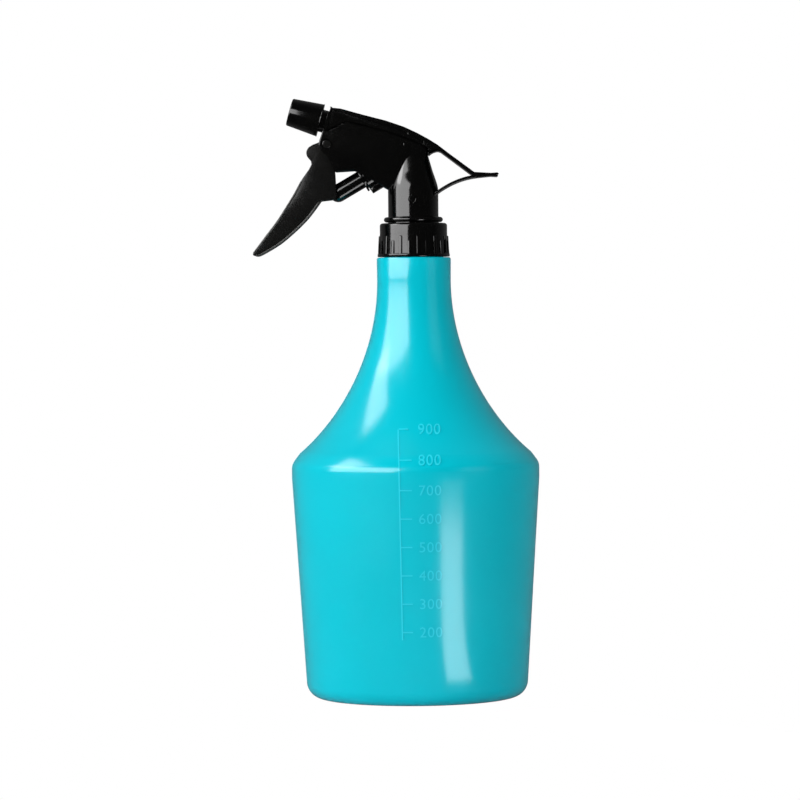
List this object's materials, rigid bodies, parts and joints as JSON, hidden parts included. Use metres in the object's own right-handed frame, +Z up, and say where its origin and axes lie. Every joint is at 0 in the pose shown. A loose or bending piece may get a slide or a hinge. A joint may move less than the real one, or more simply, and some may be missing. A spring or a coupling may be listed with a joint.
{
  "type": "trigger spray bottle",
  "caption": "Round waisted bottle with a screw-on trigger sprayer, an adjustable nozzle cap and a dip tube.",
  "frame": {"origin": "middle of the object's footprint, on the surface that it stands on", "axes": "+Z up along the bottle's axis, which stands 8.15 mm towards +X; the nozzle sprays towards -X; the trigger swings in the XZ plane"},
  "size_m": [0.1264, 0.1102, 0.2671],
  "materials": {
    "turquoise_bottle": "semi-gloss blow-moulded polyethylene",
    "black_moulding": "glossy injection-moulded polypropylene",
    "natural_moulding": "uncoloured satin polyethylene",
    "seal_rubber": "matt black rubber",
    "spring_steel": "drawn stainless wire"
  },
  "bodies": {
    "bottle": {"bottle": "turquoise_bottle"},
    "washer": {"neck_gasket": "natural_moulding"},
    "collar": {"closure_collar": "black_moulding"},
    "head": {"pump_body": "black_moulding", "top_cover": "black_moulding", "cylinder_guide": "black_moulding", "inlet_housing": "natural_moulding", "dip_tube": "natural_moulding", "strainer": "natural_moulding", "discharge_tube": "black_moulding", "swirl_spinner": "natural_moulding", "return_spring": "spring_steel", "outlet_spring": "spring_steel"},
    "trigger": {"trigger": "black_moulding"},
    "piston": {"piston": "black_moulding", "piston_seal": "seal_rubber"},
    "inlet_ball": {"inlet_ball": "spring_steel"},
    "outlet_valve": {"outlet_valve": "natural_moulding"},
    "nozzle_ring": {"nozzle_seal": "seal_rubber"},
    "nozzle_cap": {"nozzle_cap": "black_moulding"}
  },
  "joints": [
    {"name": "head_rise", "type": "slide", "parent": "bottle", "child": "washer", "axis": [0, 0, 1], "range_m": [0, 0.00465]},
    {"name": "collar_turn", "type": "hinge", "parent": "washer", "child": "collar", "pos_m": [0.00815, 0, 0.2], "axis": [0, 0, 1], "range_deg": [0, 396]},
    {"name": "head_swivel", "type": "hinge", "parent": "washer", "child": "head", "pos_m": [0.00815, 0, 0.212], "axis": [0, 0, 1], "continuous": true},
    {"name": "trigger_squeeze", "type": "hinge", "parent": "head", "child": "trigger", "pos_m": [-0.03015, 0, 0.2466], "axis": [0, -1, 0], "range_deg": [0, 20], "stiffness_Nm_per_rad": 0.49, "springref_deg": -20.05},
    {"name": "piston_stroke", "type": "slide", "parent": "head", "child": "piston", "axis": [0.866, 0, 0.5], "range_m": [0, 0.0077], "deforming": ["return_spring"]},
    {"name": "inlet_ball_lift", "type": "slide", "parent": "head", "child": "inlet_ball", "axis": [0, 0, 1], "range_m": [0, 0.002]},
    {"name": "outlet_valve_lift", "type": "slide", "parent": "head", "child": "outlet_valve", "axis": [-0.9617, 0, 0.274], "range_m": [0, 0.001], "stiffness_N_per_m": 150, "springref_m": -0.002, "deforming": ["outlet_spring"]},
    {"name": "nozzle_advance", "type": "slide", "parent": "head", "child": "nozzle_ring", "axis": [-0.9617, 0, 0.274], "range_m": [-0.001, 0.0024]},
    {"name": "nozzle_turn", "type": "hinge", "parent": "nozzle_ring", "child": "nozzle_cap", "pos_m": [-0.03281, 0, 0.25737], "axis": [-0.9617, 0, 0.274], "range_deg": [-150.1, 360.1]}
  ],
  "couplings": [
    {"joint": "collar_turn", "follows": "head_rise", "rad_per_m": 1484.3},
    {"joint": "piston_stroke", "follows": "trigger_squeeze", "m_per_rad": 0.02198},
    {"joint": "nozzle_turn", "follows": "nozzle_advance", "rad_per_m": 2618}
  ]
}
